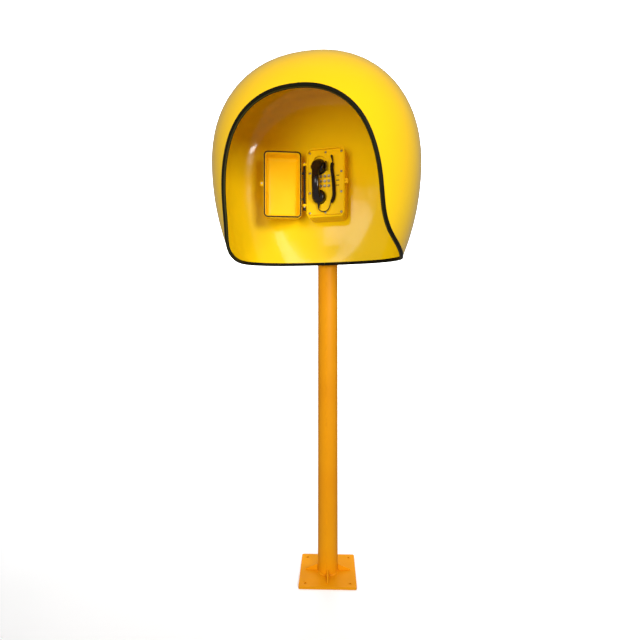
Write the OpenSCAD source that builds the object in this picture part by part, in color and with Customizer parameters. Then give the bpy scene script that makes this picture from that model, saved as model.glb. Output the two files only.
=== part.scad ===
// Outdoor telephone under a deep moulded hood, carried on a floor pole.
// Millimetres, +Z up. The hood opens towards -Y. The origin is on the pole axis, at floor level.

/* [Pole and base] */
// Side of the square floor plate
base_w = 250; // [220:5:300]
// Thickness of the floor plate
base_t = 10; // [8:1:16]
// Turn of the floor plate about the pole, in degrees
base_turn = 11; // [-45:1:45]
// Circle on which the four anchor holes lie
anchor_pcd = 275; // [240:5:280]
// Diameter of the anchor holes
anchor_d = 12; // [9:1:16]
// Outside diameter of the pole
pole_d = 90; // [80:1:96]
// Wall of the pole
pole_wall = 4; // [3:0.5:6]
// Height of the top of the pole
pole_top = 1900; // [1860:10:2000]
// Height of a gusset where it meets the pole
gusset_h = 28; // [20:1:60]

/* [Hood] */
// Widest half width of the hood
hood_half_w = 411; // [380:1:450]
// Height of the hood's widest level above the floor
hood_mid_z = 1749; // [1740:1:1760]
// Rise of the roof above the widest level
hood_rise = 411; // [380:1:450]
// Height of the bottom edge above the floor
hood_low_z = 1390; // [1370:5:1400]
// Depth of the hood from its back to the tip of the full dome
hood_depth = 518; // [490:1:560]
// Thickness of each of the two skins
skin_t = 4; // [3:0.5:5]
// Radius of the lower front corner of the hood's side
corner_r = 68; // [50:1:90]

/* [Phone] */
// Width of the phone housing
phone_w = 164; // [164:1:176]
// Height of the phone housing
phone_h = 292; // [292:1:310]
// Depth of the phone housing
phone_d = 90; // [90:1:100]
// Centre of the phone to the side of the hood's centre
phone_x = 22; // [10:1:26]
// Centre height of the phone
phone_z = 1723; // [1718:1:1728]
// Diameter of a key
key_d = 12; // [10:0.5:12]
// Sideways pitch of the keys
key_px = 17; // [16.5:0.5:18]
// Upright pitch of the keys
key_py = 20.5; // [19:0.5:20.5]
// How far a key can be pressed
key_travel = 1.5; // [1:0.1:1.6]

/* [Handset, cord and lid] */
// Distance between the centres of the two ends of the handset
handset_span = 128; // [126:1:130]
// Radius of the ends of the handset
handset_r = 29; // [26:0.5:29.5]
// Outer diameter of the curly part of the cord
coil_d = 15.5; // [12:0.5:16]
// Diameter of the straight ends of the cord
lead_d = 4; // [3.5:0.5:5]
// Depth of the lid
lid_d = 52; // [50:1:60]
// How far the lid stands open, in degrees
lid_open = 162; // [90:1:166]

/* [Hidden] */
fine = 72;
fit = 0.3;
run_fit = 0.05;
hood_back = 62;
dome_mid = 200;
flat_k = 0.45;
skin_low = 664;
up_power = 2.2;
low_power = 1.9;
arch_y = -565;
arch_z = hood_mid_z + 164;
corner_lean = 22;
rim_n = 720;
rho_flat = 0.25;
rho_wide = 0.6;
hood_n = 108;
hood_m = 9;
wall_in = hood_back + 2 * skin_t;
bracket_t = 6;
clamp_dz = 95;
clamp_h = 50;
bolt_dx = 58;
bolt_dz = 52;
bolt_mid = -2;
inlet = [40, 0];
inlet_r = 8;
face_z = phone_d - 4.5;
plate_t = 4;
seal_t = 1.5;
seat_z = face_z - plate_t - seal_t;
open_w = phone_w - 15.4;
open_h = phone_h - 23.4;
ledge_w = open_w - 26;
ledge_h = open_h - 28;
ledge_t = 8;
case_t = 4;
grip_x = -26;
bar_x = grip_x - 8;
ear_y = 67;
mouth_y = ear_y - handset_span;
well_r = handset_r + 2;
well_floor = face_z - 15.5;
hook_y = 86;
hook_r = 27;
key_cols = [-2.5 - 2 * key_px, -2.5 - key_px, -2.5, -2.5 + key_px];
key_rows = [5 + key_py, 5, 5 - key_py];
key_hole = key_d / 2 + fit;
flange_r = key_d / 2 + 0.9;
mat_top = face_z - plate_t - 0.1;
mat_low = mat_top - 9.4;
key_box = [4 * key_px + 2, 3 * key_py - 4];
cord_in = [27, 106];
lid_w = phone_w - 2;
lid_h = phone_h - 8;
lid_low = phone_d + 2;
axis_x = -lid_w / 2 - 11;
axis_z = phone_d - 8;
pin_r = 3;
sleeve_r = 5;
cup_z = face_z + 3;
cup_top = cup_z + 24;
grip_r = 145;
grip_z = cup_top - 130;
screws = [[-67, 126], [0, 126], [67, 126], [-67, 42], [67, 42],
          [-67, -42], [67, -42], [-67, -126], [0, -126], [67, -126]];
coil_path = [[33, 77, 98], [30, 66, 97], [29, 55, 96.5], [30, 40, 96], [33, 20, 96],
             [35, 0, 96], [37, -20, 96], [38, -40, 96], [38, -55, 96], [36, -70, 96.5],
             [32, -81, 97], [25, -90, 97]];
upper_path = [[27, 106, 93], [27, 105, 96], [28, 101, 98.5], [30, 94, 99], [31.5, 87, 98.5],
              [33, 77, 98]];
lower_path = [[25, -90, 97], [22, -97, 97], [19, -108, 97], [13, -118, 97], [3, -124, 97],
              [-8, -125, 98], [-18, -122, 99], [-25, -116, 100], [-26, -110.4, 100]];

// Corner points of a rounded rectangle centred on the origin
function rr(w, h, r, n = 6) =
  [for (q = [0:3]) for (i = [0:n])
    let (a = 90 * q + 90 * i / n, sx = (q == 0 || q == 3) ? 1 : -1, sy = q < 2 ? 1 : -1)
    [sx * (w / 2 - r) + r * cos(a), sy * (h / 2 - r) + r * sin(a)]];

function unit(v) = v / norm(v);

// Hood surface: q is a place on a flat disc, d is how far inside the outer face it lies
function hood_k(rho) =
  rho <= rho_flat ? flat_k * rho / rho_flat
  : rho <= rho_wide
  ? flat_k + (1 - flat_k) * pow(sin(90 * (rho - rho_flat) / (rho_wide - rho_flat)), 0.9)
  : pow(cos(90 * (rho - rho_wide) / (1 - rho_wide)), 0.85);

function hood_y(rho, d) =
  rho <= rho_flat ? -hood_back - d
  : rho <= rho_wide
  ? -dome_mid + (dome_mid - hood_back - d)
    * pow(cos(90 * (rho - rho_flat) / (rho_wide - rho_flat)), 0.9)
  : -dome_mid - (hood_depth + hood_back - dome_mid - d)
    * pow(sin(90 * (rho - rho_wide) / (1 - rho_wide)), 0.85);

function hood_reach(dir, d) =
  let (n = dir.y >= 0 ? up_power : low_power, b = (dir.y >= 0 ? hood_rise : skin_low) - d)
  pow(pow(abs(dir.x) / (hood_half_w - d), n) + pow(abs(dir.y) / b, n), -1 / n);

function hood_pt(q, d) =
  let (rho = norm(q), dir = rho > 0 ? q / rho : [1, 0], k = hood_k(rho) * hood_reach(dir, d))
  [k * dir.x, hood_y(rho, d), hood_mid_z + k * dir.y];

// Side cut of the hood: positive where the shell is kept
function arch_cut(z) =
  let (h = min(1.2, max(-2, (arch_z - z) / (arch_z - hood_low_z))))
  arch_y + 121 * h + (h > 0 ? 158 * pow(h, 11) : 0);

function kept(p) =
  let (g1 = p.y - arch_cut(p.z), g2 = p.z - hood_low_z,
       m = min(1, max(0, 0.5 + 0.5 * (g2 - g1) / corner_r)))
  g2 * (1 - m) + g1 * m - corner_r * m * (1 - m);

// Rim of the shell, found row by row outwards from the flat of the back
function rim_at(p, u, lo, hi, n) =
  n == 0 ? p + lo * u
  : let (m = (lo + hi) / 2)
  kept(hood_pt(p + m * u, 0)) > 0 ? rim_at(p, u, m, hi, n - 1) : rim_at(p, u, lo, m, n - 1);

function rim_ray(a) =
  let (p = rho_flat * [cos(a), sin(a)], b = a > 180 && a < 360 ? a + corner_lean * sin(2 * a) : a,
       u = [cos(b), sin(b)], c = p * u)
  rim_at(p, u, 0, -c + sqrt(c * c - rho_flat * rho_flat + 0.98), 20);

// The rim is then divided evenly by length, starting at the top of the arch
raw = [for (i = [0:rim_n]) rim_ray((90 + 360 * i / rim_n) % 360)];
raw_pt = [for (q = raw) hood_pt(q, 0)];
run = [for (i = 0, s = 0; i <= rim_n;
  s = s + (i < rim_n ? norm(raw_pt[i + 1] - raw_pt[i]) : 0), i = i + 1) [s, i]];
spots = [for (j = [0:hood_n - 1]) lookup(run[rim_n][0] * j / hood_n, run)];
rims = [for (f = spots)
  let (i = min(rim_n - 1, floor(f))) raw[i] + (raw[i + 1] - raw[i]) * (f - i)];
flats = [for (j = [0:hood_n - 1])
  let (a = 90 + 180 * (spots[j] / rim_n + j / hood_n)) rho_flat * [cos(a), sin(a)]];

function hood_rings(d) =
  [for (j = [0:hood_m]) for (i = [0:hood_n - 1])
    hood_pt(flats[i] + (rims[i] - flats[i]) * j / hood_m, d)];

// A skin of the hood between two depths
module skin(d1, d2) {
  n = hood_n;
  s = n * (hood_m + 1);
  polyhedron(
    points = concat(hood_rings(d1), hood_rings(d2)),
    faces = concat(
      [[for (i = [0:n - 1]) i]],
      [[for (i = [0:n - 1]) s + n - 1 - i]],
      [for (j = [0:hood_m - 1]) for (i = [0:n - 1]) let (k = (i + 1) % n)
        [j * n + i, (j + 1) * n + i, (j + 1) * n + k]],
      [for (j = [0:hood_m - 1]) for (i = [0:n - 1]) let (k = (i + 1) % n)
        [j * n + i, (j + 1) * n + k, j * n + k]],
      [for (j = [0:hood_m - 1]) for (i = [0:n - 1]) let (k = (i + 1) % n)
        [s + j * n + i, s + (j + 1) * n + k, s + (j + 1) * n + i]],
      [for (j = [0:hood_m - 1]) for (i = [0:n - 1]) let (k = (i + 1) % n)
        [s + j * n + i, s + j * n + k, s + (j + 1) * n + k]],
      [for (i = [0:n - 1]) let (k = (i + 1) % n, b = hood_m * n)
        [b + i, s + b + i, s + b + k]],
      [for (i = [0:n - 1]) let (k = (i + 1) % n, b = hood_m * n)
        [b + i, s + b + k, b + k]]));
}

// Closed or open tube of any section along frames given as [centre, side, up]
module swept(frames, section, closed) {
  n = len(section);
  m = len(frames);
  last = closed ? m - 1 : m - 2;
  pts = [for (f = frames) for (p = section) f[0] + p.x * f[1] + p.y * f[2]];
  sides = [for (j = [0:last]) for (i = [0:n - 1])
    let (a = j * n, b = ((j + 1) % m) * n, k = (i + 1) % n)
    each [[a + i, a + k, b + k], [a + i, b + k, b + i]]];
  ends = closed ? [] : [[for (i = [0:n - 1]) n - 1 - i], [for (i = [0:n - 1]) (m - 1) * n + i]];
  polyhedron(points = pts, faces = concat(sides, ends));
}

function rod_section(r, n) = [for (i = [0:n - 1]) r * [cos(360 * i / n), sin(360 * i / n)]];

// Frames along a path; ref is a direction that the path never takes
function rod_frames(path, ref) =
  [for (i = [0:len(path) - 1])
    let (a = path[max(0, i - 1)], b = path[min(len(path) - 1, i + 1)], t = unit(b - a),
         u = unit(cross(ref, t)))
    [path[i], u, cross(t, u)]];

// The face of the phone: X to the right, Y up, Z out of the wall
module phone_frame() {
  translate([phone_x, -wall_in, phone_z]) rotate([90, 0, 0]) children();
}

module slab(w, h, r, t) {
  linear_extrude(t) polygon(rr(w, h, r));
}

module rod(r, h) {
  cylinder(r = r, h = h, $fn = fine);
}

module base_plate() {
  color("orange") rotate([0, 0, base_turn]) difference() {
    linear_extrude(base_t) polygon(rr(base_w, base_w, 8));
    translate([0, 0, -1]) rod(20, base_t + 2);
    for (a = [45:90:315]) rotate([0, 0, a]) translate([anchor_pcd / 2, 0, -1])
      rod(anchor_d / 2, base_t + 2);
  }
}

module base_gussets() {
  color("orange") rotate([0, 0, base_turn]) for (a = [0:90:270])
    rotate([0, 0, a]) translate([pole_d / 2, 3, base_t]) rotate([90, 0, 0])
      linear_extrude(6) polygon([[0, 0], [57, 0], [57, 5], [0, gusset_h]]);
}

module pole_tube() {
  color("orange") translate([0, 0, base_t]) difference() {
    rod(pole_d / 2, pole_top - base_t);
    translate([0, 0, -1]) rod(pole_d / 2 - pole_wall, pole_top - base_t + 2);
  }
}

module pole_cap() {
  color("black") translate([0, 0, pole_top]) {
    rod(pole_d / 2, 5);
    translate([0, 0, -20]) rod(pole_d / 2 - pole_wall - run_fit, 21);
  }
}

module saddle(z) {
  translate([0, 0, z - clamp_h / 2]) difference() {
    union() {
      translate([-50, -hood_back + bracket_t, 0])
        cube([100, hood_back - bracket_t - 6, clamp_h]);
      translate([-75, -16, 0]) cube([150, 10, clamp_h]);
    }
    translate([0, 0, -1]) rod(pole_d / 2, clamp_h + 2);
    for (x = [-64, 64]) translate([x, 0, clamp_h / 2]) rotate([90, 0, 0]) rod(5.5, 30);
  }
}

module lower_saddle() {
  color("orange") saddle(phone_z - clamp_dz);
}

module upper_saddle() {
  color("orange") saddle(phone_z + clamp_dz);
}

module clamp_straps() {
  color("orange") for (s = [-1, 1]) translate([0, 0, phone_z + s * clamp_dz - clamp_h / 2])
    difference() {
      union() {
        rod(pole_d / 2 + 6, clamp_h);
        translate([-75, 0, 0]) cube([150, 6, clamp_h]);
      }
      translate([0, 0, -1]) rod(pole_d / 2, clamp_h + 2);
      translate([-100, -200, -1]) cube([200, 200, clamp_h + 2]);
      for (x = [-64, 64]) translate([x, 10, clamp_h / 2]) rotate([90, 0, 0]) rod(5.5, 30);
    }
}

module clamp_bolts() {
  color("silver") for (s = [-1, 1]) for (x = [-64, 64])
    translate([x, 6, phone_z + s * clamp_dz]) rotate([90, 0, 0]) {
      rod(5, 34);
      translate([0, 0, -6.5]) cylinder(r = 9.2, h = 6.5, $fn = 6);
    }
}

module clamp_nuts() {
  color("silver") for (s = [-1, 1]) for (x = [-64, 64])
    translate([x, -16, phone_z + s * clamp_dz]) rotate([90, 0, 0]) difference() {
      cylinder(r = 9.2, h = 8, $fn = 6);
      translate([0, 0, -1]) rod(5 + run_fit, 10);
    }
}

// Everything that passes through the back wall
module wall_holes() {
  phone_frame() {
    for (x = [-1, 1]) for (y = [-1, 1])
      translate([bolt_mid + x * bolt_dx, y * bolt_dz, -30]) rod(4 + fit, 60);
    translate([inlet.x, inlet.y, -30]) rod(inlet_r + fit, 60);
  }
}

module mounting_plate() {
  color("orange") difference() {
    translate([0, -hood_back + bracket_t, phone_z]) rotate([90, 0, 0])
      slab(184, 270, 10, bracket_t);
    wall_holes();
  }
}

module hood_outer_skin() {
  color("gold") difference() {
    skin(0, skin_t);
    wall_holes();
  }
}

module hood_inner_skin() {
  color("gold") difference() {
    skin(skin_t, 2 * skin_t);
    wall_holes();
  }
}

module edge_trim() {
  out = [for (q = rims) hood_pt(q, 0)];
  inn = [for (q = rims) hood_pt(q, 2 * skin_t)];
  back = [for (i = [0:hood_n - 1]) hood_pt(flats[i] + (rims[i] - flats[i]) * 0.97, 0)];
  frames = [for (i = [0:hood_n - 1])
    let (j = (i + 1) % hood_n, h = (i + hood_n - 1) % hood_n,
         t = unit(out[j] + inn[j] - out[h] - inn[h]),
         s = out[i] - back[i], b = unit(s - t * (s * t)))
    [(out[i] + inn[i]) / 2, cross(t, b), b]];
  w = skin_t + 2.4;
  g = skin_t + 0.8;
  color([0.1, 0.09, 0.05]) swept(frames,
    [[-w, 4], [-w, -7], [-g, -7], [-g, 1.8], [g, 1.8], [g, -7], [w, -7], [w, 4]], true);
}

module housing_bolts() {
  color("silver") phone_frame() for (x = [-1, 1]) for (y = [-1, 1])
    translate([bolt_mid + x * bolt_dx, y * bolt_dz, -22]) {
      rod(4, 26);
      translate([0, 0, 26]) cylinder(r = 7, h = 5.5, $fn = 6);
    }
}

module housing_nuts() {
  color("silver") phone_frame() for (x = [-1, 1]) for (y = [-1, 1])
    translate([bolt_mid + x * bolt_dx, y * bolt_dz, -2 * skin_t - bracket_t - 6.5])
      difference() {
        cylinder(r = 7.5, h = 6.5, $fn = 6);
        translate([0, 0, -1]) rod(4 + run_fit, 9);
      }
}

module line_gland() {
  color("black") phone_frame() translate([inlet.x, inlet.y, 0]) difference() {
    union() {
      translate([0, 0, -22]) rod(inlet_r, 34);
      translate([0, 0, -22]) cylinder(r = 12, h = 22 - 2 * skin_t - bracket_t, $fn = 6);
      translate([0, 0, case_t]) cylinder(r = 12, h = 5, $fn = 6);
    }
    translate([0, 0, -23]) rod(4, 36);
  }
}

module phone_housing() {
  side = phone_w / 2;
  color("gold") phone_frame() difference() {
    union() {
      slab(phone_w, phone_h, 22, phone_d - 3);
      slab(phone_w - 3, phone_h - 3, 21, phone_d);
      for (y = [81, -91]) translate([axis_x - 7, y - 5, axis_z - 7])
        cube([-axis_x - side + 8, 10, 14]);
    }
    translate([0, 0, case_t])
      slab(phone_w - 2 * case_t, phone_h - 2 * case_t, 18, seat_z - ledge_t - case_t);
    translate([0, 0, case_t]) slab(ledge_w, ledge_h, 6, phone_d);
    translate([0, 0, seat_z]) slab(open_w, open_h, 12, 30);
    for (s = screws) translate([s.x, s.y, seat_z - 9]) rod(2 + run_fit, 12);
    for (x = [-1, 1]) for (y = [-1, 1])
      translate([bolt_mid + x * bolt_dx, y * bolt_dz, -1]) rod(4 + fit, 8);
    translate([inlet.x, inlet.y, -1]) rod(inlet_r + fit, 8);
    translate([axis_x, -100, axis_z]) rotate([-90, 0, 0]) rod(pin_r + run_fit, 200);
  }
  color("gold") phone_frame() for (x = [-34, 34]) for (y = [-40, 40])
    translate([x, y, case_t - 1]) rod(4, 17);
}

module well(r, e, low, h) {
  translate([grip_x, mouth_y, low]) rod(r, h);
  translate([grip_x, ear_y, low]) rod(r, h);
  translate([grip_x, hook_y, low]) rod(hook_r + e, h);
  translate([grip_x - hook_r - e, ear_y, low]) cube([2 * hook_r + 2 * e, hook_y - ear_y, h]);
}

module faceplate() {
  back = face_z - plate_t;
  color("gold") phone_frame() difference() {
    union() {
      translate([0, 0, back]) slab(open_w - 2 * fit, open_h - 2 * fit, 11, plate_t);
      well(well_r + 2, 2, well_floor - 3, face_z - well_floor + 2);
    }
    well(well_r, 0, well_floor, 30);
    for (x = key_cols) for (y = key_rows) translate([x, y, back - 1]) rod(key_hole, 10);
    translate([cord_in.x, cord_in.y, back - 1]) rod(4.5 + run_fit, 10);
    for (s = screws) translate([s.x, s.y, back - 1]) rod(2.2, 10);
  }
}

module faceplate_gasket() {
  color("black") phone_frame() translate([0, 0, seat_z]) difference() {
    slab(open_w - 1, open_h - 1, 11, seal_t);
    translate([0, 0, -1]) slab(ledge_w, ledge_h, 6, 5);
    for (s = screws) translate([s.x, s.y, -1]) rod(2.2, 5);
  }
}

module faceplate_screws() {
  color("silver") phone_frame() for (s = screws) translate([s.x, s.y, face_z]) {
    translate([0, 0, -12]) rod(2, 12.5);
    cylinder(r1 = 4, r2 = 3, h = 2, $fn = fine);
  }
}

module keypad_mat() {
  color("dimgray") phone_frame() difference() {
    translate([-2.5 - key_px / 2, 5, mat_low])
      slab(key_box.x, key_box.y, 3, mat_top - mat_low);
    for (x = key_cols) for (y = key_rows)
      translate([x, y, mat_low - 1]) rod(flange_r + 0.4, 12);
  }
}

module keypad_board() {
  color("green") phone_frame() {
    translate([-2.5 - key_px / 2, 5, mat_low - 1.6]) slab(key_box.x, key_box.y, 2, 1.6);
    for (x = key_cols) for (y = key_rows)
      translate([x, y, mat_low - 0.5]) rod(4, 1.5);
  }
}

// A key: disc proud of the plate, a flange that keeps it in, and a stem
module key(n) {
  x = key_cols[n % 4];
  y = key_rows[floor(n / 4)];
  color("silver") phone_frame() translate([x, y, 0]) {
    translate([0, 0, mat_top - 2]) rod(key_d / 2, face_z + 2.4 - mat_top + 2);
    translate([0, 0, face_z + 2.4])
      cylinder(r1 = key_d / 2, r2 = key_d / 2 - 1, h = 0.6, $fn = fine);
    translate([0, 0, mat_top - 3.4]) rod(flange_r, 3.2);
    translate([0, 0, mat_low + 1 + key_travel + fit]) rod(3, 6);
  }
}

module label_bars() {
  color([0.25, 0.2, 0.05]) phone_frame() for (y = key_rows)
    translate([52, y, face_z]) slab(14, 4, 1, 0.6);
}

module cradle() {
  color("black") phone_frame() translate([grip_x, ear_y, face_z]) {
    difference() {
      union() {
        rod(well_r + 3.5, 3);
        translate([handset_r + 1, -20, 0]) cube([6, 32, 27]);
        translate([-handset_r - 6, -7, 0]) cube([5, 12, 12]);
      }
      translate([0, 0, -1]) rod(handset_r + fit, 40);
      translate([-50, 0, -1]) cube([100, 60, 5]);
    }
  }
}

module hook_switch() {
  color("dimgray") phone_frame()
    translate([grip_x - 12, ear_y - 8, well_floor - 3 - 9]) cube([24, 16, 9]);
}

module main_board() {
  color("green") phone_frame() translate([0, 0, case_t + 16]) slab(90, 130, 3, 1.6);
}

module sounder() {
  color("black") phone_frame() translate([-18, 36, case_t + 17.6]) difference() {
    rod(18, 14);
    translate([0, 0, 12]) rod(4, 5);
  }
}

module terminal_block() {
  color("gray") phone_frame() translate([0, -48, case_t + 17.6]) difference() {
    translate([-22, -8, 0]) cube([44, 16, 13]);
    for (x = [-16.5:11:16.5]) translate([x, 0, 6]) rod(2.5, 10);
  }
}

module cord_gland() {
  color("black") phone_frame() translate([cord_in.x, cord_in.y, 0]) {
    translate([0, 0, face_z - plate_t - 4]) rod(4.5, plate_t + 4.5);
    translate([0, 0, face_z - plate_t - 4]) rod(7, 3.8);
    translate([0, 0, face_z]) cylinder(r1 = 6, r2 = 3.5, h = 93 - face_z, $fn = fine);
  }
}

module cord_upper_lead() {
  color("black") phone_frame()
    swept(rod_frames(upper_path, [1, 0, 0]), rod_section(lead_d / 2, 8), false);
}

module cord_coil() {
  color("black") phone_frame()
    swept(rod_frames(coil_path, [0, 0, 1]), rod_section(coil_d / 2, 12), false);
}

module cord_lower_lead() {
  color("black") phone_frame()
    swept(rod_frames(lower_path, [0, 0, 1]), rod_section(lead_d / 2, 8), false);
}

module handset_shell() {
  half = asin((handset_span / 2) / grip_r) + 2;
  mid = (ear_y + mouth_y) / 2;
  color([0.12, 0.08, 0.07]) phone_frame() difference() {
    union() {
      for (y = [ear_y, mouth_y]) translate([grip_x, y, cup_z]) {
        rod(handset_r, cup_top - cup_z - 8);
        translate([0, 0, cup_top - cup_z - 8])
          cylinder(r1 = handset_r, r2 = handset_r - 10, h = 8, $fn = fine);
      }
      translate([bar_x, mid, grip_z]) rotate([0, 90, 0]) rotate([0, 0, 180 - half])
        rotate_extrude(angle = 2 * half, $fn = 120)
          translate([grip_r, 0]) polygon(rr(20, 32, 8));
    }
    for (y = [ear_y, mouth_y]) translate([grip_x, y, cup_z - 1]) rod(22, 19);
  }
}

module cap(y, holes) {
  phone_frame() translate([grip_x, y, 0]) difference() {
    union() {
      translate([0, 0, cup_z - 13]) rod(handset_r - 2, 13);
      translate([0, 0, cup_z - 15])
        cylinder(r1 = handset_r - 6, r2 = handset_r - 2, h = 2, $fn = fine);
    }
    translate([0, 0, cup_z - 12]) rod(22, 20);
    for (a = [0:360 / holes:359]) rotate([0, 0, a]) translate([11, 0, cup_z - 20])
      rod(1.6, 12);
    translate([0, 0, cup_z - 20]) rod(1.6, 12);
  }
}

module ear_cap() {
  color("black") cap(ear_y, 6);
}

module mouth_cap() {
  color("black") cap(mouth_y, 8);
}

module receiver_capsule() {
  color("silver") phone_frame() translate([grip_x, ear_y, cup_z - 12]) rod(21.7, 18);
}

module microphone_capsule() {
  color("silver") phone_frame() translate([grip_x, mouth_y, cup_z - 12]) rod(21.7, 16);
}

module handset_magnet() {
  color("gray") phone_frame() translate([grip_x, ear_y, cup_z + 6]) rod(8, 5);
}

module handset_sleeve() {
  color("black") phone_frame() translate([grip_x, mouth_y - handset_r + 2, 100])
    rotate([90, 0, 0]) cylinder(r1 = 6.5, r2 = 3, h = 22, $fn = fine);
}

// The lid is drawn closed, in the phone's frame, then swung open about its hinge
module lid_frame() {
  phone_frame() translate([axis_x, 0, axis_z]) rotate([0, -lid_open, 0])
    translate([-axis_x, 0, -axis_z]) children();
}

module lid_shell() {
  color("gold") lid_frame() difference() {
    union() {
      translate([0, 0, lid_low]) slab(lid_w, lid_h, 20, 10);
      translate([0, 0, lid_low + 9]) slab(lid_w - 8, lid_h - 8, 18, lid_d - 9);
      translate([lid_w / 2 - 1, -9, lid_low]) cube([14, 18, 6]);
    }
    translate([0, 0, lid_low - 1]) slab(lid_w - 14, lid_h - 14, 13, lid_d - 3);
    translate([0, 0, lid_low - 1])
      linear_extrude(3) polygon(rr(lid_w - 4, lid_h - 6, 18));
    translate([lid_w / 2 + 6.5, 0, lid_low - 1]) rod(3 + run_fit, 10);
  }
}

module lid_gasket() {
  color([0.2, 0.12, 0.05]) lid_frame() translate([0, 0, phone_d + 0.2]) difference() {
    slab(lid_w - 4.4, lid_h - 6.4, 17.8, lid_low + 2 - phone_d - 0.2);
    translate([0, 0, -1]) slab(lid_w - 14, lid_h - 14, 13, 10);
  }
}

module hinge_sleeve() {
  color("black") lid_frame() difference() {
    union() {
      translate([axis_x, -85, axis_z]) rotate([-90, 0, 0]) rod(sleeve_r, 160);
      for (y = [50, -60]) translate([axis_x, y, 0]) {
        translate([-5, -4, axis_z]) cube([10, 8, lid_low + 9 - axis_z]);
        translate([-5, -4, lid_low + 3]) cube([16, 8, 6]);
      }
    }
    translate([axis_x, -90, axis_z]) rotate([-90, 0, 0]) rod(pin_r + run_fit, 180);
  }
}

module hinge_pin() {
  color("silver") phone_frame() translate([axis_x, -104, axis_z]) rotate([-90, 0, 0])
    rod(pin_r, 196);
}

module hinge_knob() {
  color("black") phone_frame() translate([axis_x, -112, axis_z]) rotate([-90, 0, 0])
    difference() {
      rod(6, 12);
      translate([0, 0, 8]) rod(pin_r, 5);
    }
}

module latch_knob() {
  color("silver") lid_frame() translate([lid_w / 2 + 6.5, 0, lid_low]) {
    translate([0, 0, -8]) rod(3, 16);
    translate([0, 0, 6.2]) rod(6.5, 5);
    translate([-6, -1.5, 11]) cube([12, 3, 3]);
  }
}

module latch_keeper() {
  side = phone_w / 2;
  color("gold") phone_frame() difference() {
    translate([side, -9, phone_d - 16]) cube([12, 18, 15]);
    translate([lid_w / 2 + 6.5, 0, phone_d - 10]) rod(3.5, 12);
  }
}

base_plate();
base_gussets();
pole_tube();
pole_cap();
lower_saddle();
upper_saddle();
clamp_straps();
clamp_bolts();
clamp_nuts();
mounting_plate();
hood_outer_skin();
hood_inner_skin();
edge_trim();
housing_bolts();
housing_nuts();
line_gland();
phone_housing();
faceplate();
faceplate_gasket();
faceplate_screws();
keypad_mat();
keypad_board();
key(0);  // key_1
key(1);  // key_2
key(2);  // key_3
key(3);  // key_4
key(4);  // key_5
key(5);  // key_6
key(6);  // key_7
key(7);  // key_8
key(8);  // key_9
key(9);  // key_10
key(10);  // key_11
key(11);  // key_12
label_bars();
cradle();
hook_switch();
main_board();
sounder();
terminal_block();
cord_gland();
cord_upper_lead();
cord_coil();
cord_lower_lead();
handset_shell();
ear_cap();
mouth_cap();
receiver_capsule();
microphone_capsule();
handset_magnet();
handset_sleeve();
lid_shell();
lid_gasket();
hinge_sleeve();
hinge_pin();
hinge_knob();
latch_knob();
latch_keeper();
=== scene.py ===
# %% [markdown]
# # An outdoor telephone under a deep yellow hood
# The object is a street telephone: a glass-fibre hood on a steel pole, and on the hood's back wall
# an industrial telephone whose lid stands open. The solids from the CAD model are loaded first, as a
# fixed frame, because every measure and every joint comes from them. They are plain and sharp-edged,
# so most of what is seen is then drawn again as finer surfaces in the same places.

import bpy
import numpy as np
from mathutils import Matrix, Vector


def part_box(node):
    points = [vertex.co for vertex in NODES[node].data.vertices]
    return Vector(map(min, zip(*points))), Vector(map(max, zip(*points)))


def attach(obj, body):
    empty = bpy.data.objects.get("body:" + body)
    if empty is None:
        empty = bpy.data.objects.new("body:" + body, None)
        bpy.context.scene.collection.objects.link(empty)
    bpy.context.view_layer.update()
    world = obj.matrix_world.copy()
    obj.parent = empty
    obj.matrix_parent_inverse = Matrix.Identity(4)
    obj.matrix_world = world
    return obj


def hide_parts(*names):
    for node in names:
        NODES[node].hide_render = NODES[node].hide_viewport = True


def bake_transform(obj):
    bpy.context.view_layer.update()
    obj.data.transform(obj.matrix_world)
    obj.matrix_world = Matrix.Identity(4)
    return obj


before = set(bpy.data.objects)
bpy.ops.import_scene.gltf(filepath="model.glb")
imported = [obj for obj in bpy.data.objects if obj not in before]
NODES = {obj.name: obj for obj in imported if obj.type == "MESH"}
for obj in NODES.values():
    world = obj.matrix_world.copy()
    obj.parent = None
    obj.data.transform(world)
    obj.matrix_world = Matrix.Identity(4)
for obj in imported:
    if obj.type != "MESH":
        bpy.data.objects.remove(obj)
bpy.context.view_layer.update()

# %% [markdown]
# ## The camera
# A product picture of a tall thing is taken level, so that the pole stays upright. The lens is short
# and the camera stands a little to the right.

# %% Camera
camera_data = bpy.data.cameras.new("view_camera")
camera_data.lens, camera_data.sensor_width = 23.175, 36.0
camera = bpy.data.objects.new("view_camera", camera_data)
camera.location = (0.3766, -1.8402, 1.1475)
camera.rotation_euler = (np.radians(90), 0, np.radians(12.65))
bpy.context.scene.collection.objects.link(camera)
bpy.context.scene.camera = camera
print("camera at", tuple(round(v, 3) for v in camera.location))

# %% [markdown]
# ## Surfaces from grids
# Nearly every piece here is one grid of points: a few rows of a profile, and many columns around it.
# Modelling by hand with an edit cage would work too, but a grid is exact and easy to change. The
# three helpers below turn a grid into faces, close its two ends, and put several grids in one mesh.


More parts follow.
